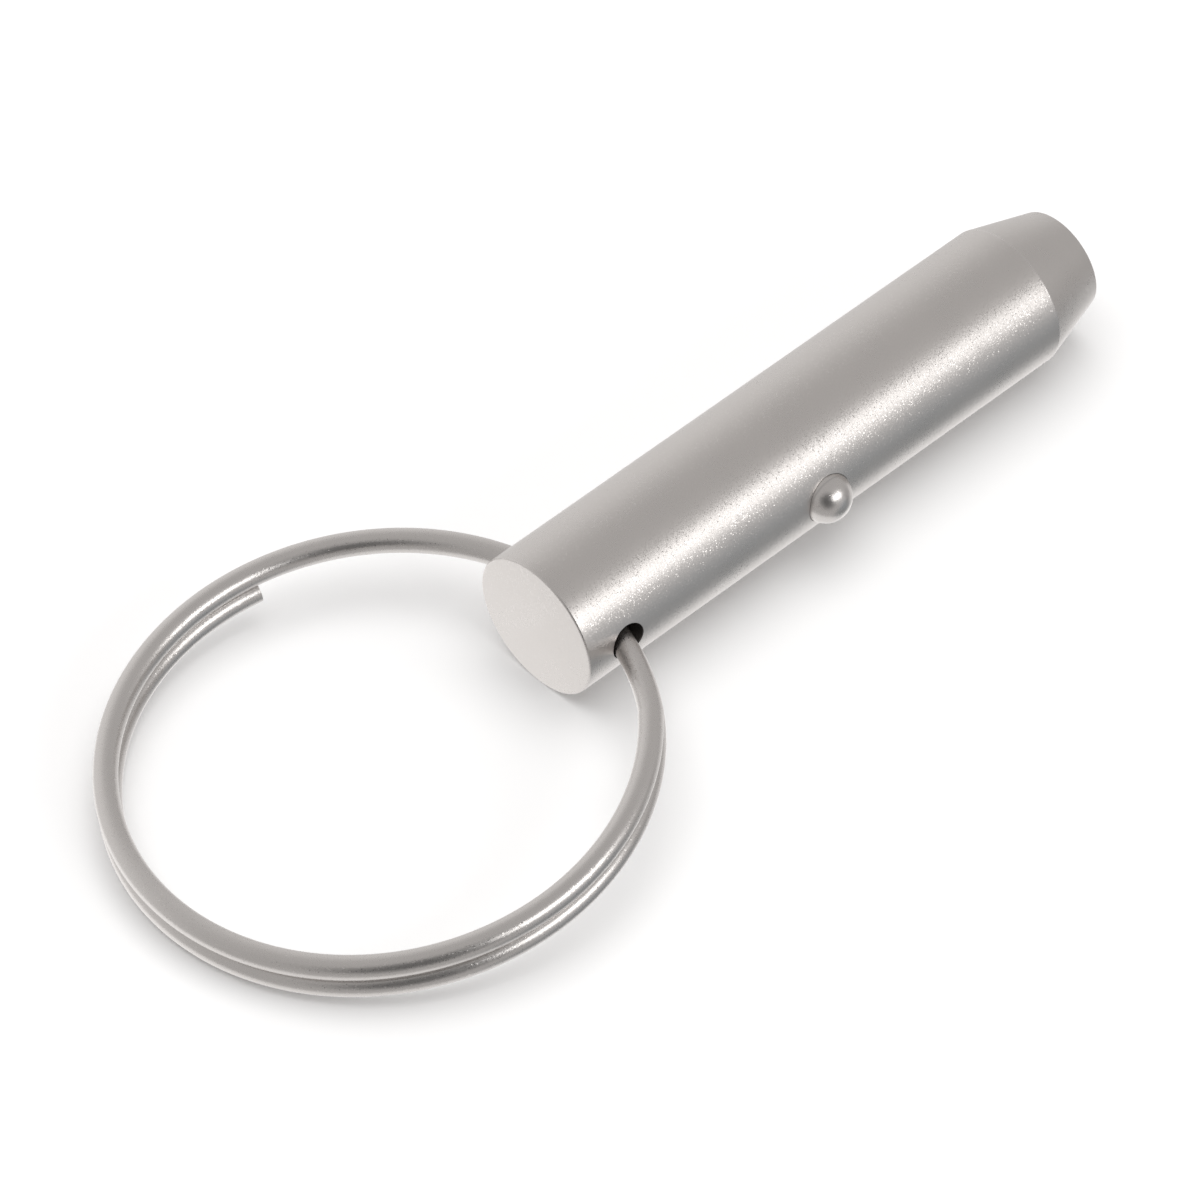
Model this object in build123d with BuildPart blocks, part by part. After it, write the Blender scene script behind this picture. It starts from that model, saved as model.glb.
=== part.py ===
from build123d import *
import os
from math import asin, atan2, cos, degrees, radians, sin, sqrt, tan

# Pin body: a turned pin along X, with its flat head face at the origin
pin_diameter = 10.0
shank_length = 41.6
nose_length = 4.85
nose_tip_diameter = 7.2
head_edge_break = 0.15
tip_edge_break = 0.1

# Split ring: round wire through a cross hole near the head, with angles counted from the hole
ring_outer_diameter = 35.7
ring_wire_diameter = 1.6
ring_turn_gap = 0.04
ring_end_break = 0.15
ring_hole_from_head = 3.3
ring_play = 0.1
ring_rest_gap = 0.03
ring_lower_end_angle = -284.5
ring_upper_end_angle = 319.0
ring_arcs = 10
ring_wire_sides = 16

# Detent: a ball staked into a blind bore, with a coil spring behind it
ball_diameter = 3.5
ball_from_head = 20.8
ball_centre_depth = 0.35
ball_play = 0.02
bore_back_wall = 2.3
spring_wire_diameter = 0.4
spring_side_play = 0.2
spring_ball_gap = 0.04
spring_turns = 5.5
spring_arcs = 33
spring_wire_sides = 8

pin_radius = pin_diameter / 2
ball_radius = ball_diameter / 2
ring_wire_radius = ring_wire_diameter / 2
spring_wire_radius = spring_wire_diameter / 2

# The ring's wire bows as it crosses the pin: the hole has room for the bow, and play on both sides
ring_radius = ring_outer_diameter / 2 - ring_wire_radius
bow_outside = ring_radius + ring_wire_radius
bow_inside = sqrt((ring_radius - ring_wire_radius) ** 2 - pin_radius**2)
ring_hole_radius = (bow_outside - bow_inside) / 2 + ring_play
ring_reach = (bow_outside + bow_inside) / 2

# One turn of the ring lies on the other
ring_pitch = ring_wire_diameter + ring_turn_gap

# The pin lies on its side, and the ring droops from the hole until its far side is down at the same level
far_reach = ring_reach + ring_radius
far_drop = pin_radius - ring_wire_radius - ring_rest_gap
far_lean = atan2(ring_pitch / 2, far_reach)
ring_droop = asin(far_drop * cos(far_lean) / far_reach) - far_lean

# The bore opens to -Y, and its floor carries the spring
ball_centre_y = ball_centre_depth - pin_radius
bore_radius = ball_radius + ball_play
bore_floor_y = pin_radius - bore_back_wall
bore_floor = Plane((ball_from_head, bore_floor_y, 0), x_dir=(1, 0, 0), z_dir=(0, -1, 0))
ball_seat = bore_floor.offset(bore_floor_y - ball_centre_y)

# The spring's free end is ground flat, and the inner rim of that end carries the ball
spring_radius = bore_radius - spring_side_play - spring_wire_radius
spring_rim_radius = spring_radius - spring_wire_radius
spring_end_y = ball_centre_y + sqrt(ball_radius**2 - spring_rim_radius**2) + spring_ball_gap
spring_length = bore_floor_y - spring_end_y


def wind_coil(radius, pitch, start_angle, end_angle, arcs):
    """Draws a coil about Z as arcs that run smoothly one into the next, at height zero where its angle is zero."""
    arc_angle = (end_angle - start_angle) / arcs
    lean = tan(radians(arc_angle / 2))
    angles = [start_angle + arc_angle * k for k in range(arcs + 1)]
    stops = [Vector(radius, 0, pitch * angle / 360).rotate(Axis.Z, angle) for angle in angles]
    for start, end in zip(stops, stops[1:]):
        chord = end - start
        TangentArc(start, end, tangent=(chord.X + lean * chord.Y, chord.Y - lean * chord.X, chord.Z))


with BuildPart() as pin_body:
    with BuildSketch(Plane.XY):
        with BuildLine():
            Polyline(
                (0, 0),
                (0, pin_radius),
                (shank_length, pin_radius),
                (shank_length + nose_length, nose_tip_diameter / 2),
                (shank_length + nose_length, 0),
                close=True,
            )
        make_face()
    revolve(axis=Axis.X)

    # Broken edges of the head face and of the flat tip
    rims = pin_body.edges().filter_by(GeomType.CIRCLE).sort_by(Axis.X)
    chamfer(rims[0], head_edge_break)
    chamfer(rims[-1], tip_edge_break)

    # Cross hole for the ring
    with Locations(Plane((ring_hole_from_head, -pin_radius, 0), x_dir=(1, 0, 0), z_dir=(0, -1, 0))):
        Hole(radius=ring_hole_radius)

    # Blind bore up to the ball's centre, closed in over the ball by its staked mouth
    with Locations(bore_floor):
        Cylinder(
            radius=bore_radius,
            height=bore_floor_y - ball_centre_y,
            align=(Align.CENTER, Align.CENTER, Align.MIN),
            mode=Mode.SUBTRACT,
        )
    with Locations(ball_seat):
        Sphere(radius=bore_radius, mode=Mode.SUBTRACT)

with BuildPart() as detent_ball:
    with Locations(ball_seat):
        Sphere(radius=ball_radius)

with BuildLine() as spring_coil:
    wind_coil(spring_radius, spring_length / spring_turns, 0, 360 * spring_turns, spring_arcs)
spring_path = bore_floor * spring_coil.line

with BuildPart() as detent_spring:
    with BuildSketch(Plane(spring_path @ 0, z_dir=spring_path % 0)):
        RegularPolygon(radius=spring_wire_radius, side_count=spring_wire_sides)
    sweep(path=spring_path)

    # Both ends ground flat
    split(bisect_by=bore_floor, keep=Keep.TOP)
    split(bisect_by=bore_floor.offset(spring_length), keep=Keep.BOTTOM)

# The ring's coil stands about its own axis, which leans by the droop
with BuildLine() as ring_coil:
    wind_coil(ring_radius, ring_pitch, ring_lower_end_angle, ring_upper_end_angle, ring_arcs)
ring_plane = Plane(
    (ring_hole_from_head - ring_reach * cos(ring_droop), 0, -ring_reach * sin(ring_droop)),
    x_dir=(cos(ring_droop), 0, sin(ring_droop)),
    z_dir=(-sin(ring_droop), 0, cos(ring_droop)),
)
ring_path = ring_plane * ring_coil.line

# The round of the wire is drawn in narrow flats, with a corner at its outermost point
wire_outward = (ring_path % 0).cross(ring_plane.z_dir)

with BuildPart() as split_ring:
    with BuildSketch(Plane(ring_path @ 0, x_dir=wire_outward, z_dir=ring_path % 0)):
        RegularPolygon(radius=ring_wire_radius, side_count=ring_wire_sides)
    sweep(path=ring_path)

    # Cut ends of the wire, each with a broken edge
    for wire_end in split_ring.faces().filter_by(GeomType.PLANE):
        end_corner = wire_end.vertices()[0].center() - wire_end.center()
        end_plane = Plane(wire_end.center(), x_dir=end_corner, z_dir=wire_end.normal_at())
        with BuildSketch(end_plane):
            RegularPolygon(radius=ring_wire_radius, side_count=ring_wire_sides)
        with BuildSketch(end_plane.offset(ring_end_break)):
            RegularPolygon(radius=ring_wire_radius - ring_end_break, side_count=ring_wire_sides)
        loft(ruled=True)

pin_body.part.label = "pin_body"
detent_ball.part.label = "detent_ball"
detent_spring.part.label = "detent_spring"
split_ring.part.label = "split_ring"

os.makedirs("parts", exist_ok=True)
export_step(pin_body.part, "parts/pin_body.step")
export_step(detent_ball.part, "parts/detent_ball.step")
export_step(detent_spring.part, "parts/detent_spring.step")
export_step(split_ring.part, "parts/split_ring.step")

print(f"Ring droop {degrees(ring_droop):.3f} degrees, hole radius {ring_hole_radius:.3f}, spring {spring_length:.3f}")
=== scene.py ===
from math import asin, atan2, cos, pi, radians, sin, sqrt, tan

import bmesh
import bpy
from mathutils import Matrix, Vector


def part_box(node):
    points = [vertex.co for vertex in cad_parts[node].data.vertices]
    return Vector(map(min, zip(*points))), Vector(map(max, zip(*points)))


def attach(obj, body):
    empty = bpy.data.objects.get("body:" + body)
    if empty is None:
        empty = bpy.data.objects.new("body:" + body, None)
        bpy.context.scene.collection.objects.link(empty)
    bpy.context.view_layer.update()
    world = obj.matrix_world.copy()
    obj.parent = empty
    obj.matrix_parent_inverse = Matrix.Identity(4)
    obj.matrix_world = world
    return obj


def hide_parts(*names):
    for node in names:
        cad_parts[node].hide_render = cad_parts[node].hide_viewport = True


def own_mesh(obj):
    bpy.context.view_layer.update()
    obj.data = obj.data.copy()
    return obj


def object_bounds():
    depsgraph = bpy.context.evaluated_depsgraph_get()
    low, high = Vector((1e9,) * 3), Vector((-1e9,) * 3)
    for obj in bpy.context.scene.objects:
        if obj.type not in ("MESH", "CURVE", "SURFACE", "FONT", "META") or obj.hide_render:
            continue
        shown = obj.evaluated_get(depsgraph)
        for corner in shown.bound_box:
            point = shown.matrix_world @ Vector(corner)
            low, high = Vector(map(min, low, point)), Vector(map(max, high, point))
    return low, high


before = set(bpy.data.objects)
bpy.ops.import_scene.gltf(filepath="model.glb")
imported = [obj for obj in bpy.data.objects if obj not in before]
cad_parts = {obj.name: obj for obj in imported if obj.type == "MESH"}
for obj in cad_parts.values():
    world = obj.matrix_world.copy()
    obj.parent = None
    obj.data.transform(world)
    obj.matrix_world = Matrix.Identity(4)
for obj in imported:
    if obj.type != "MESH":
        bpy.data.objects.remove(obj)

cadBox = [list(corner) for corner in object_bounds()]
mm = 0.001
sharpAngle = radians(35)  # edges that turn by more than this stay crisp
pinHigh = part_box("pin_body")[1]
ballLow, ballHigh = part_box("detent_ball")
ringLow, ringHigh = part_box("split_ring")
pinRadius = pinHigh.z
pinLength = pinHigh.x
ballRadius = (ballHigh.x - ballLow.x) / 2
ballCentre = (ballLow + ballHigh) / 2
floorLevel = cadBox[0][2]
print("frame loaded, pin %.2f mm long" % (pinLength / mm))


# Small helpers for node trees
nodeGap = 190  # from one node to the next in the editor


def addNode(tree, kind, inputs=None, **settings):
    node = tree.nodes.new(kind)
    node.location.x = nodeGap * len(tree.nodes)
    for name, value in settings.items():
        setattr(node, name, value)
    for name, value in (inputs or {}).items():
        if isinstance(value, bpy.types.NodeSocket):
            tree.links.new(value, node.inputs[name])
        else:
            node.inputs[name].default_value = value
    return node


def sums(tree, operation, *values):
    node = addNode(tree, "ShaderNodeMath", dict(enumerate(values)), operation=operation)
    return node.outputs[0]


def vectors(tree, operation, *values):
    node = addNode(tree, "ShaderNodeVectorMath", dict(enumerate(values)), operation=operation)
    return node.outputs["Vector"]


def hypotenuse(tree, first, second):
    squares = [sums(tree, "POWER", side, 2.0) for side in (first, second)]
    return sums(tree, "SQRT", sums(tree, "ADD", *squares))


def ease(tree, value, low, high, toLow=0.0, toHigh=1.0):
    spread = {"Value": value, "From Min": low, "From Max": high, "To Min": toLow, "To Max": toHigh}
    node = addNode(tree, "ShaderNodeMapRange", spread, interpolation_type="SMOOTHSTEP")
    return node.outputs["Result"]


def blend(tree, mask, first, second, blendType="MIX"):
    inputs = {0: mask, 6: first, 7: second}  # the factor and the two colours of a Mix node
    node = addNode(tree, "ShaderNodeMix", inputs, data_type="RGBA", blend_type=blendType)
    return node.outputs[2]


def newGroup(name, kind, inputs, outputs):
    group = bpy.data.node_groups.new(name, kind)
    for label, socketType, value in inputs:
        socket = group.interface.new_socket(label, in_out="INPUT", socket_type=socketType)
        if value is not None:
            socket.default_value = value
    for label, socketType in outputs:
        group.interface.new_socket(label, in_out="OUTPUT", socket_type=socketType)
    given = addNode(group, "NodeGroupInput").outputs
    out = addNode(group, "NodeGroupOutput").inputs
    return group, given, out


def useGroup(tree, group, inputs):
    return addNode(tree, "ShaderNodeGroup", inputs, node_tree=group).outputs


# Satin grain: the fine flakes of a blasted surface, a few of which glint, and the slow drift of its tone
def makeSatinGrain():
    group, given, out = newGroup(
        "satinGrain", "ShaderNodeTree",
        [("Vector", "NodeSocketVector", None), ("Grains Per Metre", "NodeSocketFloat", 17000.0),
         ("Clouds Per Metre", "NodeSocketFloat", 260.0), ("Tilt", "NodeSocketFloat", 0.05),
         ("Glint Tilt", "NodeSocketFloat", 0.2), ("Glint Share", "NodeSocketFloat", 0.06),
         ("Nap", "NodeSocketVector", None)],
        [("Normal", "NodeSocketVector"), ("Tone", "NodeSocketFloat"), ("Glint", "NodeSocketFloat")])
    where = given["Vector"]
    drift = {"Vector": where, "Scale": given["Clouds Per Metre"], "Detail": 3.0, "Roughness": 0.55}
    cloud = addNode(group, "ShaderNodeTexNoise", drift)
    flake = addNode(group, "ShaderNodeTexVoronoi", {"Vector": where, "Scale": given["Grains Per Metre"]})
    draw = addNode(group, "ShaderNodeTexWhiteNoise", {"Vector": flake.outputs["Position"]})
    glint = sums(group, "LESS_THAN", draw.outputs["Value"], given["Glint Share"])

    # each flake leans its own way, and the ones that glint lean further, with the nap
    lean = vectors(group, "MULTIPLY_ADD", flake.outputs["Color"], (2, 2, 2), (-1, -1, -1))
    calm = vectors(group, "MULTIPLY", lean, given["Tilt"])
    further = sums(group, "MULTIPLY", glint, given["Glint Tilt"])
    napped = vectors(group, "ADD", lean, given["Nap"])
    tilt = vectors(group, "MULTIPLY_ADD", napped, further, calm)
    upright = addNode(group, "ShaderNodeNewGeometry").outputs["Normal"]
    normal = vectors(group, "NORMALIZE", vectors(group, "ADD", upright, tilt))
    group.links.new(normal, out["Normal"])
    group.links.new(cloud.outputs["Fac"], out["Tone"])
    group.links.new(glint, out["Glint"])
    return group


# Rim wear: a mask along a turned edge, from the distance to that edge in the pin's half section
def makeRimWear():
    group, given, out = newGroup(
        "rimWear", "ShaderNodeTree",
        [("Along", "NodeSocketFloat", 0.0), ("Radius", "NodeSocketFloat", 0.0),
         ("Edge Along", "NodeSocketFloat", 0.0), ("Edge Radius", "NodeSocketFloat", 0.0),
         ("Width", "NodeSocketFloat", 0.2 * mm)],
        [("Mask", "NodeSocketFloat")])
    across = sums(group, "SUBTRACT", given["Along"], given["Edge Along"])
    outward = sums(group, "SUBTRACT", given["Radius"], given["Edge Radius"])
    away = hypotenuse(group, across, outward)
    group.links.new(ease(group, away, 0.0, given["Width"], 1.0, 0.0), out["Mask"])
    return group


# Drawn lines: faint streaks that run with the wire, from the wire's own section and length
def makeDrawnLines():
    group, given, out = newGroup(
        "drawnLines", "ShaderNodeTree",
        [("Section", "NodeSocketVector", None), ("Length", "NodeSocketFloat", 0.0),
         ("Lines Per Metre", "NodeSocketFloat", 9000.0), ("Stretch", "NodeSocketFloat", 0.02)],
        [("Streak", "NodeSocketFloat")])
    flat = addNode(group, "ShaderNodeSeparateXYZ", {"Vector": given["Section"]}).outputs
    run = sums(group, "MULTIPLY", given["Length"], given["Stretch"])
    place = addNode(group, "ShaderNodeCombineXYZ", {"X": flat["X"], "Y": flat["Y"], "Z": run})
    lines = {"Vector": place.outputs["Vector"], "Scale": given["Lines Per Metre"], "Detail": 2.0}
    streak = addNode(group, "ShaderNodeTexNoise", lines)
    group.links.new(streak.outputs["Fac"], out["Streak"])
    return group


satinGrain = makeSatinGrain()
rimWear = makeRimWear()
drawnLines = makeDrawnLines()
print("effect groups ready")


# What all the steels share
toneSpread = (0.25, 0.75)  # the middle of the tone's range, which the roughness follows


def newSteel(name):
    material = bpy.data.materials.new(name)
    material.use_nodes = True
    tree = material.node_tree
    shader = tree.nodes["Principled BSDF"]
    shader.inputs["Metallic"].default_value = 1.0
    return material, tree, shader


def useSatin(tree, where, look, nap=(0, 0, 0)):
    return useGroup(tree, satinGrain, {
        "Vector": where, "Grains Per Metre": look["grains"], "Clouds Per Metre": look["clouds"],
        "Tilt": look["tilt"], "Glint Tilt": look["glintTilt"], "Glint Share": look["glintShare"],
        "Nap": nap})


def polish(tree, rough, mask, amount):
    return sums(tree, "SUBTRACT", rough, sums(tree, "MULTIPLY", mask, amount))


def addBump(tree, shader, height, strength, depth, normal):
    relief = addNode(tree, "ShaderNodeBump", {
        "Height": height, "Strength": strength, "Distance": depth, "Normal": normal})
    tree.links.new(relief.outputs["Normal"], shader.inputs["Normal"])


# Pin: a turned and satin finished shank with a cross hole for the ring and a bore for the ball
pin = {
    "shankLength": 41.6 * mm,
    "tipRadius": 3.6 * mm,
    "headBreak": 0.15 * mm,
    "tipBreak": 0.12 * mm,
    "shoulderBreak": 0.05 * mm,
    "holeFromHead": 3.3 * mm,
    "holeRadius": 1.294 * mm,
    "boreRadius": 1.77 * mm,
    "boreFloor": 2.7 * mm,
    "sectors": 256,
    "shankSteps": 48,
    "holeSectors": 96,
    "mouthSteps": 24,
    "steel": (0.72, 0.69, 0.665, 1.0),
    "steelDull": (0.69, 0.66, 0.64, 1.0),
    "rimSteel": (0.74, 0.71, 0.69, 1.0),
    "rimWidth": 0.15 * mm,
    "shoulderWidth": 0.12 * mm,
    "rimPolish": 0.04,
    # painted shade: the darker colour painted on the walls inside the hole and the bore
    "paintedShadeSteel": (0.36, 0.34, 0.325, 1.0),
    "paintedShadeBelow": 0.1 * mm,
    "roughness": (0.365, 0.39),
    "grains": 17000.0,
    "clouds": 260.0,
    "tilt": 0.025,
    "glintTilt": 0.085,
    "glintShare": 0.12,
    "glintPolish": 0.1,
    "turningLines": 5200.0,
    "turningStrength": 0.3,
    "turningDepth": 0.01 * mm,
}


def makePinSteel():
    material, tree, shader = newSteel("pinSteel")
    where = addNode(tree, "ShaderNodeTexCoord").outputs["Object"]
    spot = addNode(tree, "ShaderNodeSeparateXYZ", {"Vector": where}).outputs
    along = spot["X"]
    radius = hypotenuse(tree, spot["Y"], spot["Z"])

    # the flakes' nap runs round the pin, as the turning left it
    backwards = sums(tree, "MULTIPLY", spot["Y"], -1.0)
    around = addNode(tree, "ShaderNodeCombineXYZ", {"Y": spot["Z"], "Z": backwards})
    grain = useSatin(tree, where, pin, vectors(tree, "NORMALIZE", around.outputs["Vector"]))

    # the tool's path round the pin and over its end faces
    path = {"W": sums(tree, "ADD", along, radius), "Scale": pin["turningLines"], "Detail": 3.0}
    turning = addNode(tree, "ShaderNodeTexNoise", path, noise_dimensions="1D")

    # burnished rims at the head, the shoulder and the tip
    rims = [(0.0, pinRadius, pin["rimWidth"]), (pin["shankLength"], pinRadius, pin["shoulderWidth"]),
            (pinLength, pin["tipRadius"], pin["rimWidth"])]
    masks = [useGroup(tree, rimWear, {"Along": along, "Radius": radius, "Edge Along": edgeAlong,
                                      "Edge Radius": edgeRadius, "Width": width})["Mask"]
             for edgeAlong, edgeRadius, width in rims]
    worn = sums(tree, "MAXIMUM", masks[0], sums(tree, "MAXIMUM", masks[1], masks[2]))

    # painted shade: the walls of the hole and the bore are painted darker, for the shade that falls inside
    # them
    inside = sums(tree, "LESS_THAN", radius, pinRadius - pin["paintedShadeBelow"])
    pastHead = sums(tree, "GREATER_THAN", along, pin["paintedShadeBelow"])
    beforeNose = sums(tree, "LESS_THAN", along, pin["shankLength"] - pin["paintedShadeBelow"])
    paintedShade = sums(tree, "MULTIPLY", inside, sums(tree, "MULTIPLY", pastHead, beforeNose))

    body = blend(tree, grain["Tone"], pin["steelDull"], pin["steel"])
    # the painted shade darkens the walls inside the hole and the bore
    body = blend(tree, paintedShade, body, pin["paintedShadeSteel"])
    tree.links.new(blend(tree, worn, body, pin["rimSteel"]), shader.inputs["Base Color"])
    rough = ease(tree, grain["Tone"], *toneSpread, *pin["roughness"])
    rough = polish(tree, rough, worn, pin["rimPolish"])
    rough = polish(tree, rough, grain["Glint"], pin["glintPolish"])
    tree.links.new(rough, shader.inputs["Roughness"])
    addBump(tree, shader, turning.outputs["Fac"], pin["turningStrength"], pin["turningDepth"],
            grain["Normal"])
    return material


def roundOff(corner, before, after, amount, steps=4):
    # points of a small round between two straight runs of an outline
    first = corner + (before - corner).normalized() * amount
    last = corner + (after - corner).normalized() * amount
    points = []
    for step in range(steps + 1):
        share = step / steps
        points.append((1 - share) ** 2 * first + 2 * share * (1 - share) * corner + share ** 2 * last)
    return points


def lathe(name, outline, sectors, axis):
    # spins an outline of (along, radius) points round an axis, with a pole where the radius is zero
    spun = bmesh.new()
    rings = []
    for along, radius in outline:
        count = sectors if radius > 0 else 1
        turns = [2 * pi * sector / sectors for sector in range(count)]
        rings.append([spun.verts.new((along, radius * cos(turn), radius * sin(turn))) for turn in turns])
    for lower, upper in zip(rings, rings[1:]):
        for sector in range(sectors):
            following = sector + 1
            corners = [lower[sector % len(lower)], lower[following % len(lower)],
                       upper[following % len(upper)], upper[sector % len(upper)]]
            spun.faces.new(list(dict.fromkeys(corners)))
    bmesh.ops.recalc_face_normals(spun, faces=spun.faces)
    spun.transform(axis)
    mesh = bpy.data.meshes.new(name)
    spun.to_mesh(mesh)
    spun.free()
    return mesh


def addObject(name, data, material=None):
    obj = bpy.data.objects.new(name, data)
    bpy.context.scene.collection.objects.link(obj)
    if material:
        data.materials.append(material)
    return obj


def settle(obj):
    # bakes the modifiers into the mesh and takes them off
    depsgraph = bpy.context.evaluated_depsgraph_get()
    finished = bpy.data.meshes.new_from_object(obj.evaluated_get(depsgraph))
    finished.name = obj.name
    obj.modifiers.clear()
    obj.data = finished
    return finished


def makePin():
    head, shoulder = Vector((0, pinRadius)), Vector((pin["shankLength"], pinRadius))
    tip, centre = Vector((pinLength, pin["tipRadius"])), Vector((pinLength, 0))
    outline = [Vector((0, 0))]
    outline += roundOff(head, outline[0], shoulder, pin["headBreak"])
    stride = pin["shankLength"] / pin["shankSteps"]
    outline += [Vector((stride * step, pinRadius)) for step in range(1, pin["shankSteps"])]
    outline += roundOff(shoulder, head, tip, pin["shoulderBreak"])
    outline += roundOff(tip, shoulder, centre, pin["tipBreak"])
    outline.append(centre)
    shank = addObject("quickLockPin", lathe("shank", outline, pin["sectors"], Matrix.Identity(4)))

    # cutters lie along Y: a through hole, and a bore whose end closes in over the ball
    alongY = Matrix.Rotation(radians(-90), 4, "Z") @ Matrix.Rotation(pi / pin["holeSectors"], 4, "X")
    reach = 2 * pinRadius
    through = [(-reach, 0), (-reach, pin["holeRadius"]), (reach, pin["holeRadius"]), (reach, 0)]
    hole = lathe("hole", through, pin["holeSectors"],
                 Matrix.Translation((pin["holeFromHead"], 0, 0)) @ alongY)
    depth = pin["boreFloor"] - ballCentre.y
    turns = [pi / 2 * step / pin["mouthSteps"] for step in range(pin["mouthSteps"])]
    mouth = [(depth + pin["boreRadius"] * sin(turn), pin["boreRadius"] * cos(turn)) for turn in turns]
    blind = [(0, 0), (0, pin["boreRadius"]), *mouth, (depth + pin["boreRadius"], 0)]
    bore = lathe("bore", blind, pin["holeSectors"],
                 Matrix.Translation((ballCentre.x, pin["boreFloor"], 0)) @ alongY)
    cutters = [addObject("crossHole", hole), addObject("ballBore", bore)]
    for cutter in cutters:
        cut = shank.modifiers.new(cutter.name, "BOOLEAN")
        cut.object = cutter
        cut.operation = "DIFFERENCE"
        cut.solver = "EXACT"
    mesh = settle(shank)
    for cutter in cutters:
        bpy.data.objects.remove(cutter)
    mesh.materials.clear()
    mesh.materials.append(makePinSteel())
    mesh.shade_smooth()
    mesh.set_sharp_from_angle(angle=sharpAngle)
    return shank


quickLockPin = makePin()
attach(quickLockPin, "pin")
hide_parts("pin_body")
print("pin turned: %d faces" % len(quickLockPin.data.polygons))


# Ball: a polished ball, with a band rubbed by the lip of its bore
ball = {
    "steps": 40,
    "steel": (0.74, 0.71, 0.69, 1.0),
    "steelDull": (0.68, 0.655, 0.635, 1.0),
    "rubbed": (0.60, 0.58, 0.565, 1.0),
    "rubWidth": 0.12 * mm,
    "rubRoughness": 0.08,
    "roughness": (0.26, 0.30),
    "grains": 12000.0,
    "clouds": 900.0,
    "tilt": 0.02,
    "glintTilt": 0.1,
    "glintShare": 0.04,
}


def makeBallSteel():
    material, tree, shader = newSteel("ballSteel")
    where = addNode(tree, "ShaderNodeTexCoord").outputs["Object"]
    centred = addNode(tree, "ShaderNodeMapping", {"Vector": where, "Location": -ballCentre})
    grain = useSatin(tree, centred.outputs["Vector"], ball)

    # the lip touches the ball where it leaves the pin's round
    outward = addNode(tree, "ShaderNodeSeparateXYZ", {"Vector": where}).outputs["Y"]
    away = sums(tree, "ABSOLUTE", sums(tree, "ADD", outward, pinRadius))
    rub = ease(tree, away, 0.0, ball["rubWidth"], 1.0, 0.0)
    body = blend(tree, grain["Tone"], ball["steelDull"], ball["steel"])
    tree.links.new(blend(tree, rub, body, ball["rubbed"]), shader.inputs["Base Color"])
    rough = ease(tree, grain["Tone"], *toneSpread, *ball["roughness"])
    rough = sums(tree, "ADD", rough, sums(tree, "MULTIPLY", rub, ball["rubRoughness"]))
    tree.links.new(rough, shader.inputs["Roughness"])
    tree.links.new(grain["Normal"], shader.inputs["Normal"])
    return material


def makeBall():
    # a cube's faces pushed out to the ball, so the mesh is even all round
    blank = bmesh.new()
    bmesh.ops.create_cube(blank, size=2)
    bmesh.ops.subdivide_edges(blank, edges=blank.edges, cuts=ball["steps"], use_grid_fill=True)
    for vert in blank.verts:
        even = Vector([tan(pi / 4 * side) for side in vert.co])
        vert.co = ballCentre + even.normalized() * ballRadius
    bmesh.ops.recalc_face_normals(blank, faces=blank.faces)
    mesh = bpy.data.meshes.new("detentBall")
    blank.to_mesh(mesh)
    blank.free()
    mesh.shade_smooth()
    return addObject("detentBall", mesh, makeBallSteel())


detentBall = makeBall()
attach(detentBall, "ball")
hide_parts("detent_ball")
print("ball rounded: %d faces" % len(detentBall.data.polygons))


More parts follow.
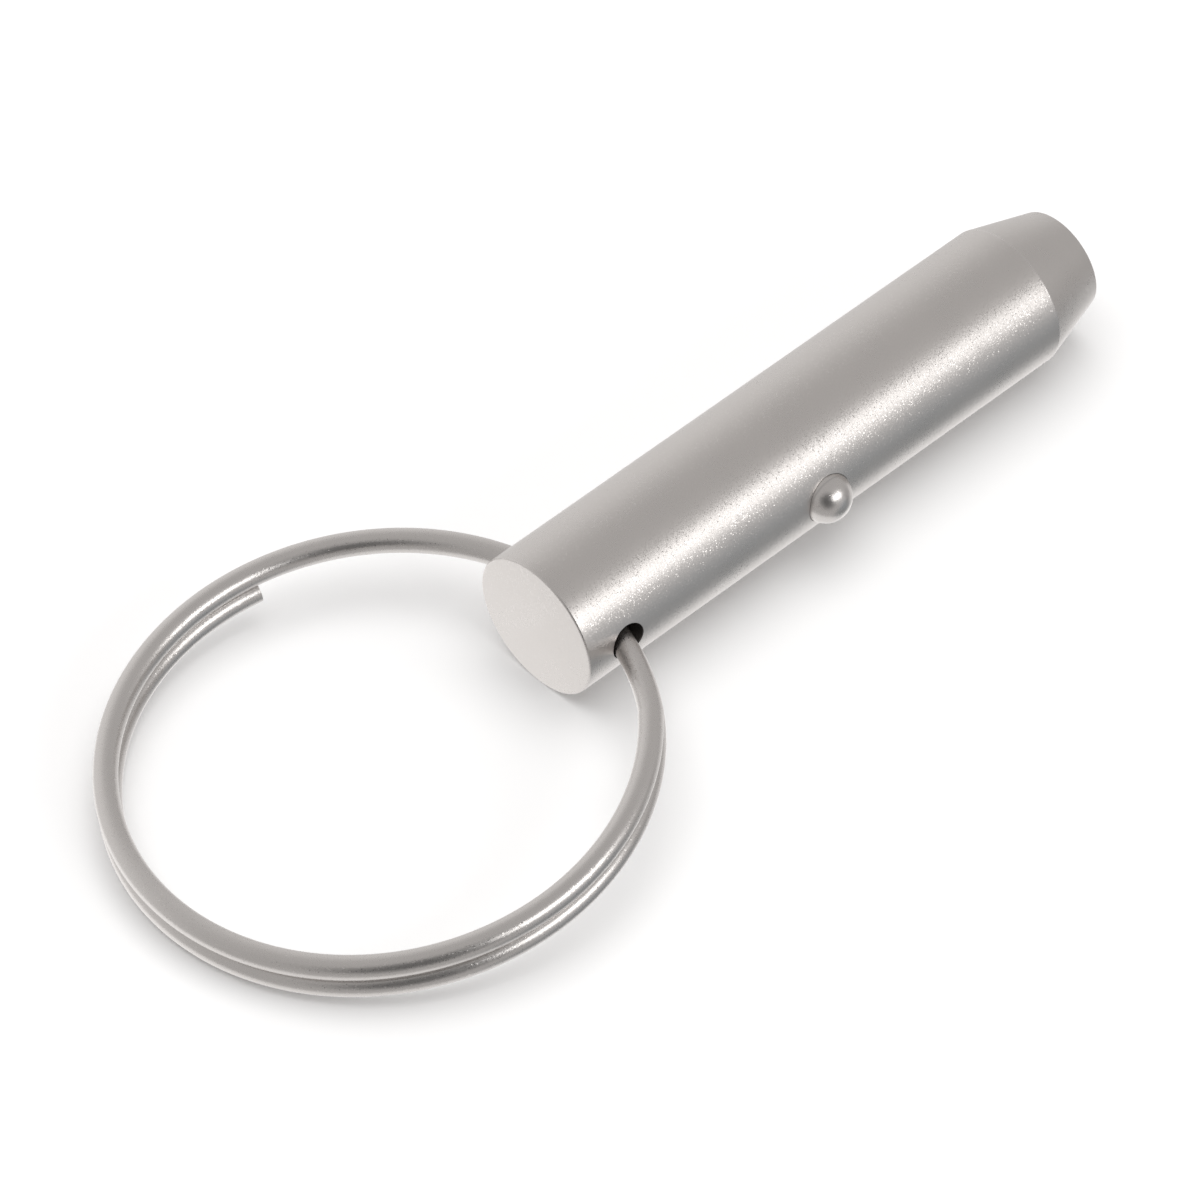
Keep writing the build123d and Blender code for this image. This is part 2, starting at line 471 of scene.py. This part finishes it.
# Wire coils: one tree winds the ring and the spring, and keeps the wire's section and length for its finish
def makeCoilTree():
    tree, given, out = newGroup(
        "wireCoil", "GeometryNodeTree",
        [("Radius", "NodeSocketFloat", 10 * mm), ("Pitch", "NodeSocketFloat", 1 * mm),
         ("Start Angle", "NodeSocketFloat", 0.0), ("End Angle", "NodeSocketFloat", 2 * pi),
         ("Wire Radius", "NodeSocketFloat", 1 * mm), ("End Break", "NodeSocketFloat", 0.1 * mm),
         ("Lowest", "NodeSocketFloat", -1.0), ("Highest", "NodeSocketFloat", 1.0),
         ("Steps", "NodeSocketInt", 64), ("Sides", "NodeSocketInt", 24),
         ("Place", "NodeSocketVector", None), ("Turn", "NodeSocketVector", None),
         ("Steel", "NodeSocketMaterial", None)],
        [("Geometry", "NodeSocketGeometry")])
    line = addNode(tree, "GeometryNodeCurvePrimitiveLine", {"End": (1, 0, 0)}).outputs["Curve"]
    rail = addNode(tree, "GeometryNodeResampleCurve", {"Curve": line, "Count": given["Steps"]},
                   mode="COUNT").outputs["Curve"]

    # the first and last steps are as short as the broken edge at each cut end
    first = addNode(tree, "GeometryNodeCurveEndpointSelection", {"Start Size": 1, "End Size": 0})
    last = addNode(tree, "GeometryNodeCurveEndpointSelection", {"Start Size": 0, "End Size": 1})
    first, last = first.outputs["Selection"], last.outputs["Selection"]
    sweepAngle = sums(tree, "SUBTRACT", given["End Angle"], given["Start Angle"])
    arcLength = sums(tree, "MULTIPLY", given["Radius"], sweepAngle)
    breakShare = sums(tree, "DIVIDE", given["End Break"], arcLength)
    share = addNode(tree, "ShaderNodeMapRange", {
        "Value": addNode(tree, "GeometryNodeInputIndex").outputs["Index"], "From Min": 1.0,
        "From Max": sums(tree, "SUBTRACT", given["Steps"], 2.0),
        "To Min": breakShare, "To Max": sums(tree, "SUBTRACT", 1.0, breakShare)}).outputs["Result"]
    share = sums(tree, "SUBTRACT", share, sums(tree, "MULTIPLY", first, breakShare))
    share = sums(tree, "ADD", share, sums(tree, "MULTIPLY", last, breakShare))

    # the rail becomes a helix, thinner where its ends are broken
    angle = sums(tree, "MULTIPLY_ADD", share, sweepAngle, given["Start Angle"])
    point = addNode(tree, "ShaderNodeCombineXYZ", {
        "X": sums(tree, "MULTIPLY", sums(tree, "COSINE", angle), given["Radius"]),
        "Y": sums(tree, "MULTIPLY", sums(tree, "SINE", angle), given["Radius"]),
        "Z": sums(tree, "DIVIDE", sums(tree, "MULTIPLY", angle, given["Pitch"]), 2 * pi)})
    rail = addNode(tree, "GeometryNodeStoreNamedAttribute", {
        "Geometry": rail, "Name": "wireLength", "Value": sums(tree, "MULTIPLY", angle, given["Radius"])},
        data_type="FLOAT", domain="POINT").outputs["Geometry"]
    rail = addNode(tree, "GeometryNodeSetPosition", {
        "Geometry": rail, "Position": point.outputs["Vector"]}).outputs["Geometry"]
    taper = sums(tree, "DIVIDE", given["End Break"], given["Wire Radius"])
    atEnds = sums(tree, "ADD", first, last)
    thickness = sums(tree, "SUBTRACT", 1.0, sums(tree, "MULTIPLY", atEnds, taper))
    rail = addNode(tree, "GeometryNodeSetCurveRadius", {
        "Curve": rail, "Radius": thickness}).outputs["Curve"]

    circle = addNode(tree, "GeometryNodeCurvePrimitiveCircle", {
        "Resolution": given["Sides"], "Radius": given["Wire Radius"]}, mode="RADIUS")
    section = addNode(tree, "GeometryNodeStoreNamedAttribute", {
        "Geometry": circle.outputs["Curve"], "Name": "wireSection",
        "Value": addNode(tree, "GeometryNodeInputPosition").outputs["Position"]},
        data_type="FLOAT_VECTOR", domain="POINT").outputs["Geometry"]
    wire = addNode(tree, "GeometryNodeCurveToMesh", {
        "Curve": rail, "Profile Curve": section, "Fill Caps": True}).outputs["Mesh"]

    # ends that are ground flat stop at the lowest and highest levels
    place = addNode(tree, "GeometryNodeInputPosition").outputs["Position"]
    spot = addNode(tree, "ShaderNodeSeparateXYZ", {"Vector": place}).outputs
    level = sums(tree, "MAXIMUM", spot["Z"], given["Lowest"])
    level = sums(tree, "MINIMUM", level, given["Highest"])
    ground = addNode(tree, "ShaderNodeCombineXYZ", {"X": spot["X"], "Y": spot["Y"], "Z": level})
    wire = addNode(tree, "GeometryNodeSetPosition", {
        "Geometry": wire, "Position": ground.outputs["Vector"]}).outputs["Geometry"]
    turn = addNode(tree, "FunctionNodeEulerToRotation", {"Euler": given["Turn"]}).outputs["Rotation"]
    wire = addNode(tree, "GeometryNodeTransform", {
        "Geometry": wire, "Translation": given["Place"], "Rotation": turn}).outputs["Geometry"]
    wire = addNode(tree, "GeometryNodeRealizeInstances", {"Geometry": wire}).outputs["Geometry"]
    wire = addNode(tree, "GeometryNodeSetMaterial", {
        "Geometry": wire, "Material": given["Steel"]}).outputs["Geometry"]
    tree.links.new(wire, out["Geometry"])
    return tree


coilTree = makeCoilTree()


def windCoil(name, values):
    coil = addObject(name, bpy.data.meshes.new(name))
    winding = coil.modifiers.new("winding", "NODES")
    winding.node_group = coilTree
    for socket in coilTree.interface.items_tree:
        if socket.item_type == "SOCKET" and socket.name in values:
            winding[socket.identifier] = values[socket.name]
    mesh = settle(coil)
    mesh.shade_smooth()
    mesh.set_sharp_from_angle(angle=sharpAngle)
    return coil


# The finish that both wires share
wireFinish = {
    "grainPart": 0.6,
    "linePart": 0.4,
    "lineStrength": 0.2,
    "lineDepth": 0.015 * mm,
    "glintPolish": 0.06,
}


def makeWireSteel(name, look):
    material, tree, shader = newSteel(name)
    where = addNode(tree, "ShaderNodeTexCoord").outputs["Object"]
    section = addNode(tree, "ShaderNodeAttribute", attribute_name="wireSection").outputs["Vector"]
    length = addNode(tree, "ShaderNodeAttribute", attribute_name="wireLength").outputs["Fac"]
    grain = useSatin(tree, where, look)
    drawn = {"Section": section, "Length": length, "Lines Per Metre": look["lines"]}
    streak = useGroup(tree, drawnLines, drawn)["Streak"]
    grainTone = sums(tree, "MULTIPLY", grain["Tone"], wireFinish["grainPart"])
    lineTone = sums(tree, "MULTIPLY", streak, wireFinish["linePart"])
    tone = sums(tree, "ADD", grainTone, lineTone)
    tree.links.new(blend(tree, tone, look["steelDull"], look["steel"]), shader.inputs["Base Color"])
    rough = ease(tree, tone, *toneSpread, *look["roughness"])
    rough = polish(tree, rough, grain["Glint"], wireFinish["glintPolish"])
    tree.links.new(rough, shader.inputs["Roughness"])
    addBump(tree, shader, streak, wireFinish["lineStrength"], wireFinish["lineDepth"], grain["Normal"])
    return material


# Split ring: about one and two thirds turns of round wire. Its single wire passes through the cross hole,
# and its far side hangs down to the floor
ring = {
    "wireRadius": 0.8 * mm,
    "pitch": 1.64 * mm,
    "endBreak": 0.15 * mm,
    "floorGap": 0.03 * mm,
    "lowerEnd": radians(-284.5),
    "upperEnd": radians(319.0),
    "steps": 420,
    "sides": 48,
    "steel": (0.74, 0.71, 0.69, 1.0),
    "steelDull": (0.67, 0.645, 0.625, 1.0),
    "roughness": (0.30, 0.34),
    "grains": 17000.0,
    "clouds": 420.0,
    "tilt": 0.025,
    "glintTilt": 0.1,
    "glintShare": 0.1,
    "lines": 5200.0,
}


def makeRing():
    outside = min(ringHigh.y, -ringLow.y)
    radius = outside - ring["wireRadius"]
    inside = sqrt((radius - ring["wireRadius"]) ** 2 - pinRadius ** 2)
    reach = (outside + inside) / 2  # from the ring's middle to the hole's
    far = reach + radius
    lean = atan2(ring["pitch"] / 2, far)
    droop = asin((pinRadius - ring["wireRadius"] - ring["floorGap"]) * cos(lean) / far) - lean
    return windCoil("splitRing", {
        "Radius": radius, "Pitch": ring["pitch"], "Wire Radius": ring["wireRadius"],
        "End Break": ring["endBreak"], "Start Angle": ring["lowerEnd"], "End Angle": ring["upperEnd"],
        "Steps": ring["steps"], "Sides": ring["sides"], "Turn": (0, -droop, 0),
        "Place": (pin["holeFromHead"] - reach * cos(droop), 0, -reach * sin(droop)),
        "Steel": makeWireSteel("ringSteel", ring)})


splitRing = makeRing()
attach(splitRing, "ring")
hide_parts("split_ring")
print("ring wound: %d faces" % len(splitRing.data.polygons))


# Spring: a small coil in the bore, ground flat at both ends, wound here at its rest length; the real one
# shortens as the ball is pressed
spring = {
    "wireRadius": 0.2 * mm,
    "endBreak": 0.02 * mm,
    "sidePlay": 0.2 * mm,
    "ballGap": 0.04 * mm,
    "turns": 5.5,
    "travel": 1.4 * mm,
    "steps": 300,
    "sides": 20,
    "steel": (0.60, 0.58, 0.57, 1.0),
    "steelDull": (0.50, 0.485, 0.475, 1.0),
    "roughness": (0.30, 0.42),
    "grains": 16000.0,
    "clouds": 1200.0,
    "tilt": 0.03,
    "glintTilt": 0.15,
    "glintShare": 0.05,
    "lines": 16000.0,
}


def makeSpring():
    radius = pin["boreRadius"] - spring["sidePlay"] - spring["wireRadius"]
    rim = radius - spring["wireRadius"]
    endLevel = ballCentre.y + sqrt(ballRadius ** 2 - rim ** 2) + spring["ballGap"]
    length = pin["boreFloor"] - endLevel
    coil = windCoil("detentSpring", {
        "Radius": radius, "Pitch": length / spring["turns"], "Wire Radius": spring["wireRadius"],
        "End Break": spring["endBreak"], "Start Angle": 0.0, "End Angle": 2 * pi * spring["turns"],
        "Lowest": 0.0, "Highest": length, "Steps": spring["steps"], "Sides": spring["sides"],
        "Turn": (radians(90), 0, 0), "Place": (ballCentre.x, pin["boreFloor"], 0),
        "Steel": makeWireSteel("springSteel", spring)})
    return coil, length


detentSpring, springLength = makeSpring()
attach(detentSpring, "pin")
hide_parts("detent_spring")
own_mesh(detentSpring)
print("spring wound: %d faces" % len(detentSpring.data.polygons))


# Studio: a white floor, a soft room that the steel reflects, a key light and a broad fill
studio = {
    "floorSize": 8.0,
    "floorColour": (0.98, 0.98, 0.98, 1.0),
    "floorRoughness": 0.9,
    "room": (0.505, 0.495, 0.49, 1.0),
    "glows": [  # direction, where the glow starts and is full, and the colour that it adds
        ((-0.1, 0.25, -0.963), 0.58, 0.75, (0.42, 0.42, 0.42, 1.0)),
        ((0.0, 0.985, -0.17), 0.10, 1.00, (0.32, 0.32, 0.32, 1.0)),
        ((0.45, -0.846, -0.275), 0.90, 0.99, (0.03, 0.045, 0.06, 1.0)),
        ((0.80, 0.10, -0.59), 0.80, 0.95, (0.30, 0.30, 0.30, 1.0)),
    ],
    "darks": [  # the same for dark cards low in front, at the front left and past the nose
        ((0.42, -0.62, -0.66), 0.80, 0.97, (0.22, 0.20, 0.19, 1.0)),
        ((-0.49, -0.78, 0.39), 0.74, 0.97, (0.40, 0.39, 0.385, 1.0)),
        ((0.84, -0.51, -0.17), 0.90, 0.99, (0.11, 0.11, 0.11, 1.0)),
    ],
    "keyDirection": (0.211, -0.871, 0.442),
    "keyDistance": 1.2,
    "keySize": (0.9, 0.48),
    "keyPower": 3.3,
    "fillHeight": 1.2,
    "fillSize": (1.4, 1.4),
    "fillPower": 10.8,
}


def makeFloor():
    half = studio["floorSize"] / 2
    mesh = bpy.data.meshes.new("floor")
    corners = [(-half, -half, floorLevel), (half, -half, floorLevel), (half, half, floorLevel),
               (-half, half, floorLevel)]
    mesh.from_pydata(corners, [], [(0, 1, 2, 3)])
    paper = bpy.data.materials.new("whiteFloor")
    paper.use_nodes = True
    shader = paper.node_tree.nodes["Principled BSDF"]
    shader.inputs["Base Color"].default_value = studio["floorColour"]
    shader.inputs["Roughness"].default_value = studio["floorRoughness"]
    shader.inputs["Specular IOR Level"].default_value = 0.0
    floor = addObject("floor", mesh, paper)
    floor.visible_glossy = False  # the steel reflects the room's own white floor glow


def makeRoom():
    world = bpy.data.worlds.new("softRoom")
    world.use_nodes = True
    tree = world.node_tree
    direction = addNode(tree, "ShaderNodeTexCoord").outputs["Generated"]
    colour = studio["room"]
    parts = [(*glow, "ADD") for glow in studio["glows"]]
    parts += [(*dark, "SUBTRACT") for dark in studio["darks"]]
    for axis, start, full, gain, blendType in parts:
        facing = addNode(tree, "ShaderNodeVectorMath", {0: direction, 1: axis}, operation="DOT_PRODUCT")
        colour = blend(tree, ease(tree, facing.outputs["Value"], start, full), colour, gain, blendType)
    tree.links.new(colour, tree.nodes["Background"].inputs["Color"])
    bpy.context.scene.world = world


def addSoftbox(name, place, target, size, power):
    lamp = bpy.data.lights.new(name, "AREA")
    lamp.shape = "RECTANGLE"
    lamp.size, lamp.size_y = size
    lamp.energy = power
    box = addObject(name, lamp)
    box.visible_camera = False
    back = (place - target).normalized()
    side = (Vector((1, 0, 0)) - back * back.x).normalized()  # one edge of the box runs with the pin
    turn = Matrix((side, back.cross(side), back)).transposed()
    box.matrix_world = Matrix.Translation(place) @ turn.to_4x4()
    return box


def lightStudio():
    middle = Vector((pinLength / 2, 0, 0))
    key = middle + Vector(studio["keyDirection"]).normalized() * studio["keyDistance"]
    addSoftbox("keySoftbox", key, middle, studio["keySize"], studio["keyPower"])
    above = middle + Vector((0, 0, studio["fillHeight"]))
    fill = addSoftbox("overheadFill", above, middle, studio["fillSize"], studio["fillPower"])
    fill.visible_glossy = False


makeFloor()
makeRoom()
lightStudio()
print("studio lit")


# Camera: a long lens from above the head end, turned a little so that the pin climbs as in the picture
view = {
    "target": (4.44 * mm, -1.17 * mm, 0.0),
    "azimuth": radians(-41.39),
    "elevation": radians(47.04),
    "distance": 492.66 * mm,
    "roll": radians(2.35),
    "lens": 235.44,
    "clip": (0.01, 20.0),
}


def addCamera():
    lens = bpy.data.cameras.new("camera")
    lens.lens = view["lens"]
    lens.clip_start, lens.clip_end = view["clip"]
    camera = addObject("camera", lens)
    level = cos(view["elevation"])
    back = Vector((sin(view["azimuth"]) * level, -cos(view["azimuth"]) * level, sin(view["elevation"])))
    aim = (-back).to_track_quat("-Z", "Y").to_matrix() @ Matrix.Rotation(-view["roll"], 3, "Z")
    place = Vector(view["target"]) + back * view["distance"]
    camera.matrix_world = Matrix.Translation(place) @ aim.to_4x4()
    bpy.context.scene.camera = camera


addCamera()
bpy.context.scene.view_settings.view_transform = "Standard"
print("camera set")
